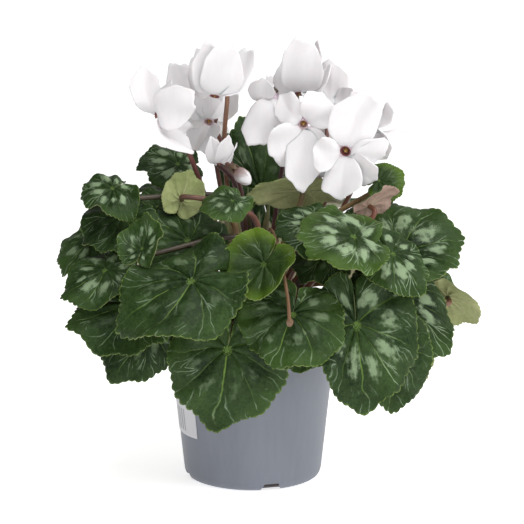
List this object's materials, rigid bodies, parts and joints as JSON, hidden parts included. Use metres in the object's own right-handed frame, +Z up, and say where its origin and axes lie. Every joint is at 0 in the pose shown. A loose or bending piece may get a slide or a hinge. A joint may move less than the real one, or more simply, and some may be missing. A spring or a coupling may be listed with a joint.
{
  "type": "potted cyclamen",
  "caption": "Cyclamen plant with heart-shaped marbled leaves and reflexed white blooms, growing in a tapered round grow pot.",
  "frame": {"origin": "centre of the pot's foot, on the floor", "axes": "+Z up along the pot's axis, -Y toward the viewer of the picture, +X to the picture's right"},
  "size_m": [0.2882, 0.2636, 0.3065],
  "materials": {
    "pot": "satin",
    "label": "satin",
    "potting_soil": "matte",
    "crown": "satin",
    "leaf": "satin",
    "petal": "satin",
    "bud": "satin"
  },
  "bodies": {
    "root": {"bud_01": "bud", "corolla_01": "petal", "corolla_02": "petal", "corolla_03": "petal", "corolla_04": "petal", "corolla_05": "petal", "corolla_06": "petal", "corolla_07": "petal", "corolla_08": "petal", "corolla_09": "petal", "corolla_10": "petal", "corolla_11": "petal", "crown": "crown", "label": "label", "leaf_01": "leaf", "leaf_02": "leaf", "leaf_03": "leaf", "leaf_04": "leaf", "leaf_05": "leaf", "leaf_06": "leaf", "leaf_07": "leaf", "leaf_08": "leaf", "leaf_09": "leaf", "leaf_10": "leaf", "leaf_11": "leaf", "leaf_12": "leaf", "leaf_13": "leaf", "leaf_14": "leaf", "leaf_15": "leaf", "leaf_16": "leaf", "leaf_17": "leaf", "leaf_18": "leaf", "leaf_19": "leaf", "leaf_20": "leaf", "leaf_21": "leaf", "leaf_22": "leaf", "leaf_23": "leaf", "leaf_24": "leaf", "leaf_25": "leaf", "leaf_26": "leaf", "leaf_27": "leaf", "leaf_28": "leaf", "leaf_29": "leaf", "leaf_30": "leaf", "leaf_31": "leaf", "leaf_32": "leaf", "leaf_33": "leaf", "leaf_34": "leaf", "leaf_35": "leaf", "leaf_36": "leaf", "leaf_37": "leaf", "leaf_38": "leaf", "leaf_39": "leaf", "leaf_40": "leaf", "leaf_41": "leaf", "pot": "pot", "potting_soil": "potting_soil"}
  },
  "joints": []
}
